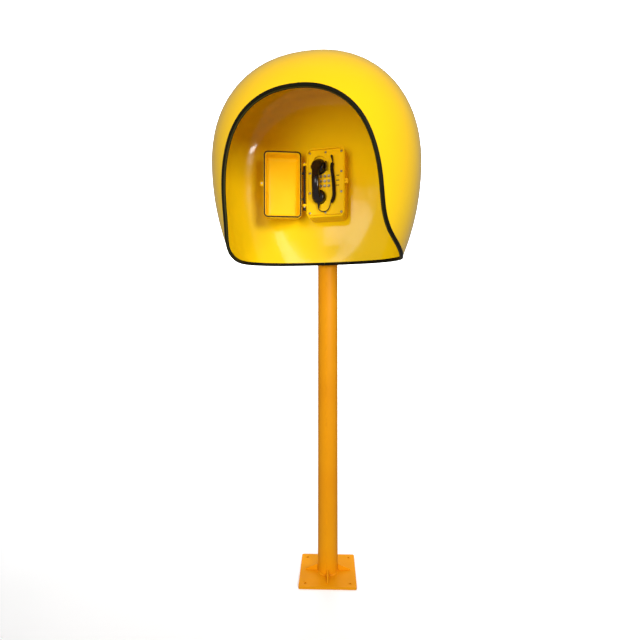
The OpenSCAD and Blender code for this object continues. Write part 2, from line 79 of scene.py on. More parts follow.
# %% Grid to mesh
def faces_of(grid, around=True, along=False, ends=True):
    """Neighbours in the grid become four-sided faces; each end row is closed by a fan to its middle."""
    rows, columns = grid.shape[:2]
    index = np.arange(rows * columns).reshape(rows, columns)
    index = np.hstack([index, index[:, :1]]) if around else index
    index = np.vstack([index, index[:1]]) if along else index
    quads = np.stack([index[:-1, :-1], index[:-1, 1:], index[1:, 1:], index[1:, :-1]], -1)
    points = grid.reshape(-1, 3)
    fans = []
    if ends and not along:
        for row, step in ((0, -1), (rows - 1, 1)):
            middle = len(points)
            points = np.vstack([points, grid[row].mean(0)])
            ring = index[row, :-1][::step]
            fans += np.stack([np.full(columns, middle), ring, np.roll(ring, -1)], -1).tolist()
    return points, quads.reshape(-1, 4).tolist() + fans


def volume(points, faces):
    """Adds up the signed boxes under each face's first triangle pair: below zero means inside out."""
    corners = np.array([f[:3] for f in faces] + [[f[0], f[2], f[3]] for f in faces if len(f) > 3])
    a, b, c = points[corners[:, 0]], points[corners[:, 1]], points[corners[:, 2]]
    return (a * np.cross(b, c)).sum() / 6


def build(name, parts, finish, body="stand", instead=(), sharp=38, attribute=None):
    """Joins (points, faces) parts in one object, turns them outwards, gives finish, body and slot."""
    points, faces = [], []
    for part_points, part_faces in parts:
        if volume(part_points, part_faces) < 0:
            part_faces = [f[::-1] for f in part_faces]
        start = sum(map(len, points))
        faces += [[start + i for i in f] for f in part_faces]
        points.append(part_points)
    mesh = bpy.data.meshes.new(name)
    mesh.from_pydata(np.vstack(points).tolist(), [], faces)
    mesh.shade_smooth()
    mesh.set_sharp_from_angle(angle=np.radians(sharp))
    if attribute is not None:
        layer = mesh.attributes.new(attribute[0], "FLOAT", "POINT")
        layer.data.foreach_set("value", np.asarray(attribute[1], np.float32).ravel())
    mesh.materials.append(finish)
    piece = bpy.data.objects.new(name, mesh)
    bpy.context.scene.collection.objects.link(piece)
    if body:
        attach(piece, body)
    if instead:
        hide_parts(*instead)
    print(name, len(mesh.vertices), "points,", len(mesh.polygons), "faces")
    return piece


# %% [markdown]
# ## Profiles
# A profile is a short list of corners seen from the side. Moulded and pressed parts have no truly
# sharp corners, and a rounded corner is what catches a line of light, so every profile goes through
# `soften`. It is then either turned round an axis, as on a lathe, or carried round a rounded
# rectangle, as the wall of a box is.


# %% Profile helpers
def unit(vectors):
    """Vectors divided by their own lengths."""
    vectors = np.asarray(vectors, float)
    return vectors / np.maximum(np.linalg.norm(vectors, axis=-1, keepdims=True), 1e-12)


def soften(corners, radius, steps=4):
    """Each inner corner becomes a curve that leaves it a radius before and joins a radius after."""
    corners = np.asarray(corners, float)
    middle = corners[1:-1, None]
    reach = np.broadcast_to(radius, len(corners) - 2)[:, None, None]
    before = middle + unit(corners[:-2] - corners[1:-1])[:, None] * reach
    after = middle + unit(corners[2:] - corners[1:-1])[:, None] * reach
    t = np.linspace(0, 1, steps + 1)[None, :, None]
    curves = (1 - t) ** 2 * before + 2 * t * (1 - t) * middle + t * t * after
    return np.vstack([corners[:1], curves.reshape(-1, 2), corners[-1:]])


ASKEW = [0.31, 0.52, 0.79]  # a direction that no axis here shares, to find a side of an axis


def turned(profile, centre, axis, around=64, along=False):
    """Each (radius, height) becomes a circle of that radius, that far along the axis."""
    profile, axis = np.asarray(profile, float), unit(axis)
    side = unit(np.cross(axis, ASKEW))
    turn = 2 * np.pi * np.arange(around) / around
    ring = np.cos(turn)[:, None] * side + np.sin(turn)[:, None] * np.cross(axis, side)
    grid = np.asarray(centre) + profile[:, 0, None, None] * ring + profile[:, 1, None, None] * axis
    return faces_of(grid, along=along)


def round_rect(width, height, corner, steps=8):
    """Four quarter circles, one in each corner of the rectangle, joined by its straight sides."""
    turn = np.radians(np.arange(4)[:, None] * 90 + np.linspace(0, 90, steps + 1)).ravel()
    right = np.repeat([1, -1, -1, 1], steps + 1) * (width / 2 - corner)
    up = np.repeat([1, 1, -1, -1], steps + 1) * (height / 2 - corner)
    return np.stack([right + corner * np.cos(turn), up + corner * np.sin(turn)], -1)


def framed(profile, width, height, corner, place, centre=(0, 0), along=False):
    """Each (inset, depth) becomes a rounded rectangle that much smaller, at that depth."""
    rings = [
        np.insert(round_rect(width - 2 * e, height - 2 * e, max(corner - e, 0.4)), 2, z, 1)
        for e, z in profile
    ]
    return faces_of(place(np.array(rings) + [centre[0], centre[1], 0]), along=along)


# %% [markdown]
# ## The telephone's own measures
# The telephone is drawn as it is on a workbench: millimetres to the right, up, and out of the wall,
# from the middle of its back. Two functions carry such points to where the telephone hangs, one for
# what is fixed and one for the lid, which is drawn shut and swung open about its hinge.

# %% Phone and lid places
plate_low, plate_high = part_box("faceplate")
housing_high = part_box("phone_housing")[1]
WALL = np.array(
    [
        (plate_low[0] + plate_high[0]) / 2,
        housing_high[1],
        (plate_low[2] + plate_high[2]) / 2,
    ]
)
HINGE, LID_TURN = (-92.0, 82.0), np.radians(-162)
print("middle of the phone's back:", np.round(WALL, 4))


def on_wall(points):
    """(right, up, out) in millimetres to metres in the shared frame."""
    points = np.asarray(points, float) / 1000
    return WALL + np.stack([points[..., 0], -points[..., 2], points[..., 1]], -1)


def on_lid(points):
    """The same, for a point of the shut lid, turned about the upright hinge line."""
    points = np.asarray(points, float)
    right, out = points[..., 0] - HINGE[0], points[..., 2] - HINGE[1]
    swung_right = HINGE[0] + right * np.cos(LID_TURN) + out * np.sin(LID_TURN)
    swung_out = HINGE[1] - right * np.sin(LID_TURN) + out * np.cos(LID_TURN)
    return on_wall(np.stack([swung_right, points[..., 1], swung_out], -1))


OUT, UP, RIGHT = np.array([0, -1.0, 0]), np.array([0, 0, 1.0]), np.array([1.0, 0, 0])
LID_OUT = unit(on_lid([0, 0, 1]) - on_lid([0, 0, 0]))

# %% [markdown]
# ## How a finish is made
# A finish is never one flat colour. Paint drifts a little between two shades, its gloss is uneven,
# and its skin has two sizes of unevenness: a long slow wave from the mould or the plate, and the
# fine grain of the spray. One helper builds all of that from noise on the object's own coordinates,
# so each finish below is a line or two of numbers. An image could not be made to fit every piece.


# %% Finish helper
def linear(red, green, blue):
    """Screen colour from 0 to 255 to the linear light that the shader wants."""
    value = np.array([red, green, blue]) / 255
    return (*np.where(value < 0.04045, value / 12.92, ((value + 0.055) / 1.055) ** 2.4), 1.0)


def finish(
    name, shade, deep, rough, bumps=(), drift=3.0, metal=0.0, coat=0.0, spread=0.04, shine=0.4
):
    """Two shades mixed by slow noise, gloss varied by faster noise, bumps added one on another."""
    material = bpy.data.materials.new(name)
    material.use_nodes = True
    nodes, link = material.node_tree.nodes, material.node_tree.links.new
    shader = nodes["Principled BSDF"]
    place = nodes.new("ShaderNodeTexCoord").outputs["Object"]

    def noise(scale, detail, seed):
        """Noise with this many features to a metre."""
        node = nodes.new("ShaderNodeTexNoise")
        node.noise_dimensions = "4D"
        node.inputs["W"].default_value = seed
        node.inputs["Scale"].default_value = scale
        node.inputs["Detail"].default_value = detail
        link(place, node.inputs["Vector"])
        return node.outputs["Fac"]

    ramp = nodes.new("ShaderNodeValToRGB")
    ramp.color_ramp.elements[0].position, ramp.color_ramp.elements[1].position = 0.3, 0.72
    ramp.color_ramp.elements[0].color = linear(*deep)
    ramp.color_ramp.elements[1].color = linear(*shade)
    link(noise(drift, 4, 1.0), ramp.inputs["Fac"])
    link(ramp.outputs["Color"], shader.inputs["Base Color"])
    gloss = nodes.new("ShaderNodeMapRange")
    gloss.inputs["To Min"].default_value = max(rough - spread, 0.02)
    gloss.inputs["To Max"].default_value = rough + spread
    link(noise(drift * 9, 5, 2.0), gloss.inputs["Value"])
    link(gloss.outputs["Result"], shader.inputs["Roughness"])
    shader.inputs["Metallic"].default_value = metal
    shader.inputs["Coat Weight"].default_value = coat
    shader.inputs["Specular IOR Level"].default_value = shine
    shader.inputs["Coat Roughness"].default_value = 0.03
    normal = None
    for seed, (scale, height) in enumerate(bumps):
        bump = nodes.new("ShaderNodeBump")
        bump.inputs["Distance"].default_value = height
        link(noise(scale, 2, 3.0 + seed), bump.inputs["Height"])
        if normal is not None:
            link(normal, bump.inputs["Normal"])
        normal = bump.outputs["Normal"]
    if normal is not None:
        link(normal, shader.inputs["Normal"])
    return material


# %% [markdown]
# ## The finishes of this telephone
# The hood is glass fibre behind a thick glossy gelcoat: almost a mirror, but with the slow waves of
# the mould in it, which is what breaks the reflections up. The telephone's aluminium box has an
# orange-yellow powder coat, grained like orange peel, and the pole a thicker one. Black parts are a
# glossy moulded resin, or matt plastic, or rubber. Keys and screws are stainless steel.

# %% Yellow finishes
gelcoat_outside = finish(
    "yellow_gelcoat_outside",
    (247, 199, 10),
    (243, 191, 7),
    0.14,
    [(5, 0.0011), (420, 0.000012)],
    coat=0.18,
    shine=0.3,
)
gelcoat_inside = finish(
    "yellow_gelcoat_inside",
    (252, 214, 15),
    (249, 205, 10),
    0.15,
    [(6, 0.0024), (21, 0.0003), (420, 0.000014)],
    coat=0.25,
    shine=0.3,
)
phone_coat = finish(
    "phone_powder_coat", (255, 207, 12), (253, 200, 8), 0.36, [(900, 0.00004)], drift=9, shine=0.16
)
tray_coat = finish(
    "lid_tray_powder_coat", (255, 204, 14), (253, 197, 9), 0.3, [(900, 0.00004)], drift=9, shine=0.2
)
pole_coat = finish(
    "pole_powder_coat",
    (229, 151, 8),
    (221, 139, 4),
    0.46,
    [(7, 0.0004), (500, 0.00006)],
    drift=4,
    shine=0.18,
)
print("yellow finishes:", len(bpy.data.materials))

# %% Black, grey and metal finishes
resin = finish(
    "glossy_black_resin", (26, 16, 14), (19, 12, 11), 0.14, [(260, 0.00001)], 30, coat=0.4
)
matt = finish("matt_black_plastic", (30, 27, 25), (22, 20, 19), 0.5, [(1400, 0.00003)], 30)
cord_skin = finish("cord_black", (34, 24, 20), (25, 18, 15), 0.36, [(1600, 0.00002)], 60)
seal = finish("brown_sponge_seal", (62, 42, 14), (44, 29, 9), 0.7, [(1100, 0.0001)], 40)
grey = finish("grey_rubber", (92, 92, 94), (76, 76, 78), 0.65, [(900, 0.00004)], 40)
steel = finish(
    "brushed_stainless", (226, 222, 206), (204, 200, 184), 0.34, [(2200, 0.00001)], 60, metal=1.0
)
zinc = finish(
    "zinc_plated_steel", (196, 194, 184), (150, 150, 146), 0.36, [(300, 0.00004)], 60, metal=1.0
)
board = finish("green_board", (22, 88, 48), (14, 66, 36), 0.42, [(700, 0.00002)], 50)
label = finish("dark_label_print", (70, 52, 6), (52, 38, 6), 0.45, [(1200, 0.00001)], 60)
print("finishes:", len(bpy.data.materials))

# %% [markdown]
# ## The curly cord
# The handset hangs on a curly cord: a 4 mm lead wound into a spring 15 mm wide. One turn after
# another could be copied along a line, but then a copy shows wherever the line bends. Here one smooth
# route runs from the gland to the handset, and the lead goes round it in a circle whose radius grows
# from nothing where the curl begins and shrinks to nothing where it ends.

# %% The cord's route
upper_lead = [[27, 106, 93], [27, 105, 96], [28, 101, 98.5], [30, 94, 99], [31.5, 87, 98.5]]
curl = [[33, 77, 98], [30, 66, 97], [29, 55, 96.5], [30, 40, 96], [33, 20, 96], [35, 0, 96]]
curl += [[37, -20, 96], [38, -40, 96], [38, -55, 96], [36, -70, 96.5], [32, -81, 97], [25, -90, 97]]
lower_lead = [[22, -97, 97], [19, -108, 97], [13, -118, 97], [3, -124, 97], [-8, -125, 98]]
lower_lead += [[-18, -122, 99], [-25, -116, 100], [-26, -110.4, 100]]
LEAD, CURL_WIDE, TURNS, ROUTE_STEPS = 4.0, 15.5, 38, 1200


def smooth_path(points, count):
    """A cubic between each two points, its slope at a point half the step between its neighbours."""
    points = np.asarray(points, float)
    slope = np.gradient(points, axis=0)
    place = np.linspace(0, len(points) - 1, count)
    i = np.minimum(place.astype(int), len(points) - 2)
    t = (place - i)[:, None]
    left = (2 * t**3 - 3 * t**2 + 1) * points[i] + (t**3 - 2 * t**2 + t) * slope[i]
    return left + (3 * t**2 - 2 * t**3) * points[i + 1] + (t**3 - t**2) * slope[i + 1]


def lengths(path):
    """How far along the path each of its points is."""
    return np.r_[0, np.cumsum(np.linalg.norm(np.diff(path, axis=0), axis=1))]


route_points = upper_lead + curl + lower_lead
route = smooth_path(route_points, ROUTE_STEPS + 1)
along = lengths(route)
curl_ends = np.array([len(upper_lead), len(upper_lead) + len(curl) - 1])
first, last = along[ROUTE_STEPS * curl_ends // (len(route_points) - 1)]
print("route", round(along[-1]), "mm, curl from", round(first), "to", round(last), "mm")

# %% [markdown]
# The number of stations is small on the straight ends and twenty to each turn in the curl. The
# circle stands square to the route: one of its directions is square to the route and to the way out
# of the wall, and the other is square to both.

# %% Wind the lead round its route
stations = np.r_[
    np.linspace(0, first, 24),
    np.linspace(first, last, 20 * TURNS)[1:],
    np.linspace(last, along[-1], 60)[1:],
]
centre = np.stack([np.interp(stations, along, route[:, k]) for k in range(3)], -1)
heading = unit(np.gradient(centre, axis=0))
sideways = unit(np.cross(UP, heading))
outwards = np.cross(heading, sideways)
share = np.clip((stations - first) / (last - first), 0, 1)
grown = np.clip(np.minimum(share, 1 - share) * TURNS / 1.3, 0, 1)
radius = (CURL_WIDE - LEAD) / 2 * grown**2 * (3 - 2 * grown)
turn = 2 * np.pi * TURNS * share
lead_path = centre + radius[:, None] * (
    np.cos(turn)[:, None] * sideways + np.sin(turn)[:, None] * outwards
)


# %% Carry a circle along the lead
def carried(path, section, start_side):
    """The section stays square to the path, and each side is the last one made square again."""
    heading = unit(np.gradient(path, axis=0))
    sides = [unit(start_side - heading[0] * (heading[0] @ start_side))]
    for now in heading[1:]:
        sides.append(unit(sides[-1] - now * (now @ sides[-1])))
    sides = np.array(sides)
    others = np.cross(heading, sides)
    section = np.asarray(section, float)
    return (
        path[:, None]
        + section[None, :, :1] * sides[:, None]
        + section[None, :, 1:] * others[:, None]
    )


round_turn = 2 * np.pi * np.arange(10) / 10
lead_section = LEAD / 2 * np.stack([np.cos(round_turn), np.sin(round_turn)], -1)
lead_grid = on_wall(carried(lead_path, lead_section, RIGHT))
cord = build("curly_cord", [faces_of(lead_grid)], cord_skin, body=None)
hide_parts("cord_upper_lead", "cord_coil", "cord_lower_lead")
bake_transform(cord)

# %% [markdown]
# ## The hood
# The hood is moulded in glass fibre: a flat back, a smooth dome round it, and a front cut in one
# sweeping curve. A dome like this could be sculpted or subdivided from a cage, but its shape has a
# short rule. Take a flat disc. Each of its points keeps its direction from the middle; how far out
# it lands, and how far forward, follow from its distance from the middle. Near the middle that makes
# the flat back, then the side walls, and near the edge the walls that close in at the front.

# %% The hood's rule
HALF_WIDE, WIDE_LEVEL, RISE, SKIRT = 411, 1749, 411, 664
BACK, WIDE_DEPTH, DEEP, SKIN = 62, 200, 518, 4
FLAT, WIDE, FLAT_REACH = 0.25, 0.6, 0.45
SIDE_CURVE, FRONT_CURVE, TOP_OVAL, SKIRT_OVAL = 0.9, 0.85, 2.2, 1.9


def hood_point(disc, inward=0.0):
    """Distance from the middle gives reach and depth; direction gives an oval, fuller at its top."""
    disc = np.asarray(disc, float)
    far = np.hypot(disc[..., 0], disc[..., 1])
    way = disc / np.maximum(far, 1e-9)[..., None]
    quarter = np.pi / 2 * np.clip((far - FLAT) / (WIDE - FLAT), 0, 1)
    front = np.pi / 2 * np.clip((far - WIDE) / (1 - WIDE), 0, 1)
    out = np.select(
        [far <= FLAT, far <= WIDE],
        [
            FLAT_REACH * far / FLAT,
            FLAT_REACH + (1 - FLAT_REACH) * np.sin(quarter) ** SIDE_CURVE,
        ],
        np.cos(front) ** FRONT_CURVE,
    )
    depth = np.select(
        [far <= FLAT, far <= WIDE],
        [
            np.full_like(far, -BACK - inward),
            -WIDE_DEPTH + (WIDE_DEPTH - BACK - inward) * np.cos(quarter) ** SIDE_CURVE,
        ],
        -WIDE_DEPTH - (DEEP + BACK - WIDE_DEPTH - inward) * np.sin(front) ** FRONT_CURVE,
    )
    power = np.where(way[..., 1] >= 0, TOP_OVAL, SKIRT_OVAL)
    tall = np.where(way[..., 1] >= 0, RISE, SKIRT) - inward
    across, along = np.abs(way[..., 0]) / (HALF_WIDE - inward), np.abs(way[..., 1]) / tall
    oval = (across**power + along**power) ** (-1 / power)
    reach = out * oval
    return np.stack([reach * way[..., 0], depth, WIDE_LEVEL + reach * way[..., 1]], -1)


# %% [markdown]
# The front edge is where the dome meets a curved cut. Rays run outwards over the disc from the flat
# back, all at once, and each is halved again and again until it ends on the cut. The edge is then
# divided evenly by its true length, so that the mesh has no crowded corners.

# %% The hood's edge
LOW, CORNER, ARCH = 1390, 68, 1913
ARCH_FRONT, LEAN_BACK, TUCK, TUCK_POWER = -565, 121, 158, 11
RAYS, RAY_LEAN = 1440, 22


def kept(points):
    """Above zero where the shell stays: behind the side curve and above the level lower edge."""
    fall = np.clip((ARCH - points[..., 2]) / (ARCH - LOW), -2, 1.2)
    tuck = np.where(fall > 0, TUCK * np.abs(fall) ** TUCK_POWER, 0)
    side = ARCH_FRONT + LEAN_BACK * fall + tuck
    front, above = points[..., 1] - side, points[..., 2] - LOW
    mix = np.clip(0.5 + 0.5 * (above - front) / CORNER, 0, 1)
    return above * (1 - mix) + front * mix - CORNER * mix * (1 - mix)


def hood_edge(count):
    """Points of the disc on the flat's ring and on the cut, matched, evenly spaced along the cut."""
    angle = (90 + 360 * np.arange(RAYS + 1) / RAYS) % 360
    from_ring = FLAT * np.stack([np.cos(np.radians(angle)), np.sin(np.radians(angle))], -1)
    lean = np.where(angle > 180, RAY_LEAN * np.sin(np.radians(2 * angle)), 0)
    ray = np.stack([np.cos(np.radians(angle + lean)), np.sin(np.radians(angle + lean))], -1)
    inside = -(from_ring * ray).sum(-1)
    short, long = np.zeros(RAYS + 1), inside + np.sqrt(inside**2 - FLAT**2 + 0.98)
    for _ in range(24):
        half = (short + long) / 2
        stays = kept(hood_point(from_ring + half[:, None] * ray)) > 0
        short, long = np.where(stays, half, short), np.where(stays, long, half)
    cut = from_ring + short[:, None] * ray
    run = lengths(hood_point(cut))
    spot = np.interp(run[-1] * np.arange(count) / count, run, np.arange(RAYS + 1))
    even = np.stack([np.interp(spot, np.arange(RAYS + 1), cut[:, k]) for k in (0, 1)], -1)
    ring = np.radians(90 + 180 * (spot / RAYS + np.arange(count) / count))
    return FLAT * np.stack([np.cos(ring), np.sin(ring)], -1), even


ring_disc, edge_disc = hood_edge(432)
print("edge length", round(lengths(hood_point(edge_disc))[-1] / 1000, 2), "m")


# %% The hood's two skins
def hood_skin(outer, inner):
    """Rows from the middle of the back to the edge, then back again at the inner depth."""
    shares = np.r_[np.linspace(0.15, 1, 6) - 1, np.linspace(0, 1, 79)[1:]]
    disc = np.where(
        shares[:, None, None] < 0,
        ring_disc * (1 + shares[:, None, None]),
        ring_disc + (edge_disc - ring_disc) * np.maximum(shares, 0)[:, None, None],
    )
    grid = np.concatenate([hood_point(disc, outer), hood_point(disc, inner)[::-1]])
    return faces_of(grid / 1000)


build(
    "hood_outer",
    [hood_skin(0, SKIN)],
    gelcoat_outside,
    instead=["hood_outer_skin"],
)
build(
    "hood_inner",
    [hood_skin(SKIN, 2 * SKIN)],
    gelcoat_inside,
    instead=["hood_inner_skin"],
)

# %% [markdown]
# ## The rubber edge strip
# A U-shaped rubber strip is pushed over the raw edge, with its joint at the middle of the lower edge.
# Its section is carried along the edge; at each station one direction lies in the skin, pointing out
# of it, and the other goes through the skin. Along the middle of its rounded back a paler colour is
# a painted sheen, so each point carries a number for how far across it lies.

# %% Edge strip section
strip_outline = soften(
    [[-6.4, -7], [-6.4, 4.2], [0, 4.8], [6.4, 4.2], [6.4, -7]], [3.4, 1.2, 3.4], 6
)
strip_slot = np.array([[4.8, -7.2], [4.8, 1.8], [-4.8, 1.8], [-4.8, -7.2]])
strip_section = np.vstack([strip_outline, strip_slot])
across = np.where(strip_section[:, 1] > 2, np.abs(strip_section[:, 0]) / 6.4, 1)
across[len(strip_outline) :] = 1

# %% Edge strip along the edge
outer_edge, inner_edge = hood_point(edge_disc), hood_point(edge_disc, 2 * SKIN)
inside_edge = hood_point(ring_disc + (edge_disc - ring_disc) * 0.985)
middle_edge = (outer_edge + inner_edge) / 2
travel = unit(np.roll(middle_edge, -1, 0) - np.roll(middle_edge, 1, 0))
leaving = outer_edge - inside_edge
leaving = unit(leaving - travel * (leaving * travel).sum(-1, keepdims=True))
through = np.cross(travel, leaving)
joint = np.argmin(np.hypot(middle_edge[:, 0], (middle_edge[:, 2] - LOW) * 3))
order = (joint + np.arange(len(middle_edge) + 1)) % len(middle_edge)
strip_middle = middle_edge[order].copy()
strip_middle[0] += travel[joint] * 0.5
strip_middle[-1] -= travel[joint] * 0.5
strip_grid = (
    strip_middle[:, None]
    + strip_section[None, :, :1] * through[order][:, None]
    + strip_section[None, :, 1:] * leaving[order][:, None]
)
strip_points, strip_faces = faces_of(strip_grid / 1000, ends=False)
last_row = len(strip_points) - len(strip_section)
strip_faces += [list(range(len(strip_section)))[::-1]]
strip_faces += [list(range(last_row, len(strip_points)))]
strip_rubber = finish(
    "edge_strip_rubber", (22, 20, 6), (15, 14, 3), 0.55, [(900, 0.00005)], 30, shine=0.12
)
build(
    "edge_strip",
    [(strip_points, strip_faces)],
    strip_rubber,
    instead=["edge_trim"],
    attribute=("across", np.tile(across, len(strip_middle))),
)


# %% Painted sheen along the middle of the strip
def painted_sheen_middle(material, shade):
    """Mixes a painted sheen, a paler shade, into the colour where the point's own number is small."""
    nodes, link = material.node_tree.nodes, material.node_tree.links.new
    number = nodes.new("ShaderNodeAttribute")
    number.attribute_name = "across"
    fade = nodes.new("ShaderNodeMapRange")
    fade.inputs["From Min"].default_value, fade.inputs["From Max"].default_value = 0.6, 0.15
    link(number.outputs["Fac"], fade.inputs["Value"])
    mix = nodes.new("ShaderNodeMix")
    mix.data_type = "RGBA"
    shader = nodes["Principled BSDF"]
    link(fade.outputs["Result"], mix.inputs["Factor"])
    link(shader.inputs["Base Color"].links[0].from_socket, mix.inputs["A"])
    mix.inputs["B"].default_value = linear(*shade)
    link(mix.outputs["Result"], shader.inputs["Base Color"])


# Painted sheen: a paler olive colour along the middle of the strip's back, where light would catch it.
painted_sheen_middle(strip_rubber, (62, 60, 26))

# %% [markdown]
# ## Pole and foot
# The pole is a steel tube welded to a square plate with four small gussets. A tube is the simplest
# turned surface there is; its top edge is broken, and a black plastic cap closes it. The weld at its
# foot is a bead with a slight ripple, which is a ring whose thickness follows two sine waves.

# %% Pole, cap and weld
pole_low, pole_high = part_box("pole_tube")
POLE = (pole_high[0] - pole_low[0]) / 2
pole_tall = pole_high[2] - pole_low[2]
tube = soften(
    [[POLE - 0.004, 0], [POLE, 0], [POLE, pole_tall], [POLE - 0.004, pole_tall]], [0.0004, 0.001]
)
build(
    "pole",
    [turned(tube, (0, 0, pole_low[2]), UP, 128, along=True)],
    pole_coat,
    instead=["pole_tube"],
)
cap_low, cap_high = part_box("pole_cap")
plug, cap_middle = POLE - 0.0041, 0.004
cap_profile = soften(
    [
        [plug, cap_low[2]],
        [plug, pole_high[2]],
        [POLE, pole_high[2]],
        [POLE, cap_high[2]],
        [cap_middle, cap_high[2]],
    ],
    [0.0001, 0.0005, 0.0022],
)
build(
    "cap_of_pole",
    [turned(cap_profile, (0, 0, 0), UP, 96)],
    matt,
    instead=["pole_cap"],
)
bead_turn = 2 * np.pi * np.arange(288)[None] / 288
bead_ring = 2 * np.pi * np.arange(12)[:, None] / 12
bead_thick = 0.0034 + 0.0004 * np.sin(37 * bead_turn) + 0.0003 * np.sin(23 * bead_turn + 1)
bead_out = POLE + 0.0006 + bead_thick * np.cos(bead_ring)
bead_grid = np.stack(
    [
        bead_out * np.cos(bead_turn),
        bead_out * np.sin(bead_turn),
        pole_low[2] + 0.0006 + bead_thick * np.sin(bead_ring),
    ],
    -1,
)
build("foot_weld", [faces_of(bead_grid, along=True)], pole_coat)

# %% [markdown]
# ## The telephone's box
# The box is a casting with a raised rim, and the front plate lies a few millimetres down inside it.
# Its whole wall is one profile: up the outside, over the rim, down to the seat of the plate, and down
# the inside. Carried round a rounded rectangle it gives the same fillets that the casting has.

# %% Housing
WIDE_BOX, TALL_BOX, BOX_CORNER = 164, 292, 22
box_profile = soften(
    [
        [4, 4], [0, 0], [0, 87], [2.2, 90], [6.2, 90], [7.7, 86.5], [7.7, 80],
        [20, 80], [20, 72], [4, 72],
    ],
    [0.5, 1.5, 2.6, 1.4, 1.2, 0.5, 0.5, 0.5],
)
box_wall = framed(box_profile, WIDE_BOX, TALL_BOX, BOX_CORNER, on_wall, along=True)
box_floor = framed([[0.3, 0.05], [0.3, 4], [3, 4.2]], WIDE_BOX, TALL_BOX, BOX_CORNER, on_wall)


def hinge_lug(low, tall):
    """A block with rounded edges, round the hinge line, that reaches into the side of the box."""
    profile = soften([[5, 0], [0, 0], [0, tall], [5, tall]], [1.5, 1.5])
    return framed(
        profile,
        18.5,
        14,
        6,
        lambda p: on_wall(np.stack([p[..., 0], low + p[..., 2], HINGE[1] - p[..., 1]], -1)),
        centre=(HINGE[0] + 2.4, 0),
    )


build(
    "phone_box",
    [box_wall, box_floor, hinge_lug(76, 10), hinge_lug(-96, 10)],
    phone_coat,
    instead=["phone_housing"],
)

# %% [markdown]
# ## Ear wells
# Each end of the handset hangs in a round well pressed into the front plate. The plate itself keeps
# its CAD shape; a rolled lip is laid on the edge of the wells, where a pressing always has one. The
# upper well reaches further up than the ear cup does, so its outline is a slot of two half circles.


# %% Well lips
def slot_outline(wide, low, high, small, steps=20):
    """Half a circle of one radius below, half a circle of another above."""
    turn = np.radians(np.linspace(180, 360, steps + 1))
    under = np.stack([wide * np.cos(turn), low + wide * np.sin(turn)], -1)
    over = np.stack([-small * np.cos(turn), high - small * np.sin(turn)], -1)
    return np.vstack([under, over])


def lip(outline, height, thick):
    """A half-round bead along a closed outline lying in the plate's face."""
    outline = np.asarray(outline, float)
    ahead = unit(np.roll(outline, -1, 0) - np.roll(outline, 1, 0))
    outward = np.stack([ahead[:, 1], -ahead[:, 0]], -1)
    turn = 2 * np.pi * np.arange(12) / 12
    flat = outline[None] + thick * np.cos(turn)[:, None, None] * outward[None]
    lift = np.broadcast_to(height + 0.6 * thick * np.sin(turn)[:, None], flat.shape[:2])
    return faces_of(on_wall(np.dstack([flat, lift])), along=True)


GRIP, EAR, MOUTH, FACE, WELL = -26, 67, -61, 85.5, 32
around_ear = slot_outline(WELL, EAR, 86, 28) + [GRIP, 0]
mouth_turn = np.radians(np.arange(48) * 7.5)
mouth_ring = np.stack([np.cos(mouth_turn), np.sin(mouth_turn)], -1)
around_mouth = [GRIP, MOUTH] + WELL * mouth_ring
build(
    "well_lips",
    [lip(around_ear, FACE, 1.3), lip(around_mouth, FACE, 1.3)],
    phone_coat,
)

# %% [markdown]
# ## Keys and screws
# Twelve metal keys stand proud of the plate, each a turned button with a dished top, so that a
# fingertip finds its middle. They are separate objects, because each rides on its own body and can
# be pressed. The ten screws have domed heads with a round socket, all turned from one profile.

# %% Keys
key_columns, key_rows = [-36.5, -19.5, -2.5, 14.5], [25.5, 5, -15.5]
key_profile = soften(
    [[5.99, 79.4], [6, 87.4], [5.9, 88.5], [4.6, 88.5], [3.9, 88.1], [0.3, 87.75]],
    [0.3, 0.5, 0.3, 0.8],
)
key_flange = soften([[5, 76], [6.9, 76], [6.9, 79.3], [6.1, 79.3]], [0.2, 0.2])
key_profile = np.vstack([key_flange, key_profile])
for number in range(12):
    right, up = key_columns[number % 4], key_rows[number // 4]
    build(
        f"button_{number + 1}",
        [turned(key_profile / 1000, on_wall([right, up, 0]), OUT, 40)],
        steel,
        body=f"key_{number + 1}_body",
        instead=[f"key_{number + 1}"],
    )

# %% Key collars
collar_profile = soften([[8.1, 85.4], [7.6, 85.95], [6.25, 85.95], [6.25, 85.2]], [0.25, 0.25])
collar_profile = np.vstack([collar_profile, [[6.25, 85.0], [8.1, 85.0]]])
collars = [
    turned(collar_profile / 1000, on_wall([x, y, 0]), OUT, 40, along=True)
    for x in key_columns
    for y in key_rows
]
build("key_collars", collars, phone_coat)

# %% Screws
screw_places = [[x, y] for y in (126, 42, -42, -126) for x in (-67, 0, 67) if x or abs(y) > 100]
screw_profile = soften(
    [
        [2, 74], [2, 85.4], [4, 85.5], [3.9, 86.6],
        [2.6, 87.4], [1.5, 87.45], [1.4, 85.9], [0.2, 85.9],
    ],
    [0.2, 0.3, 0.7, 0.8, 0.2, 0.2],
)
build(
    "plate_screws",
    [turned(screw_profile / 1000, on_wall([x, y, 0]), OUT, 32) for x, y in screw_places],
    steel,
    instead=["faceplate_screws"],
)
washer = soften(
    [[4.4, 85.45], [5.2, 85.5], [5.1, 85.9], [4.0, 86.0], [3.9, 85.6]], [0.15, 0.15, 0.1]
)
build(
    "screw_rings",
    [turned(washer / 1000, on_wall([x, y, 0]), OUT, 32, along=True) for x, y in screw_places],
    zinc,
)

# %% [markdown]
# ## Small labels
# Beside the keys the plate carries three short printed bars. They stay blank: a plain dark bar each,
# a hair proud of the paint, with rounded ends.

# %% Label bars
bar = soften([[1, 85.4], [0, 85.45], [0, 85.9], [0.4, 86.05], [1.6, 86.05]], [0.05, 0.2, 0.2])
build(
    "label_bars_print",
    [framed(bar, 14, 3.6, 1.2, on_wall, centre=(52, up)) for up in key_rows],
    label,
    instead=["label_bars"],
)

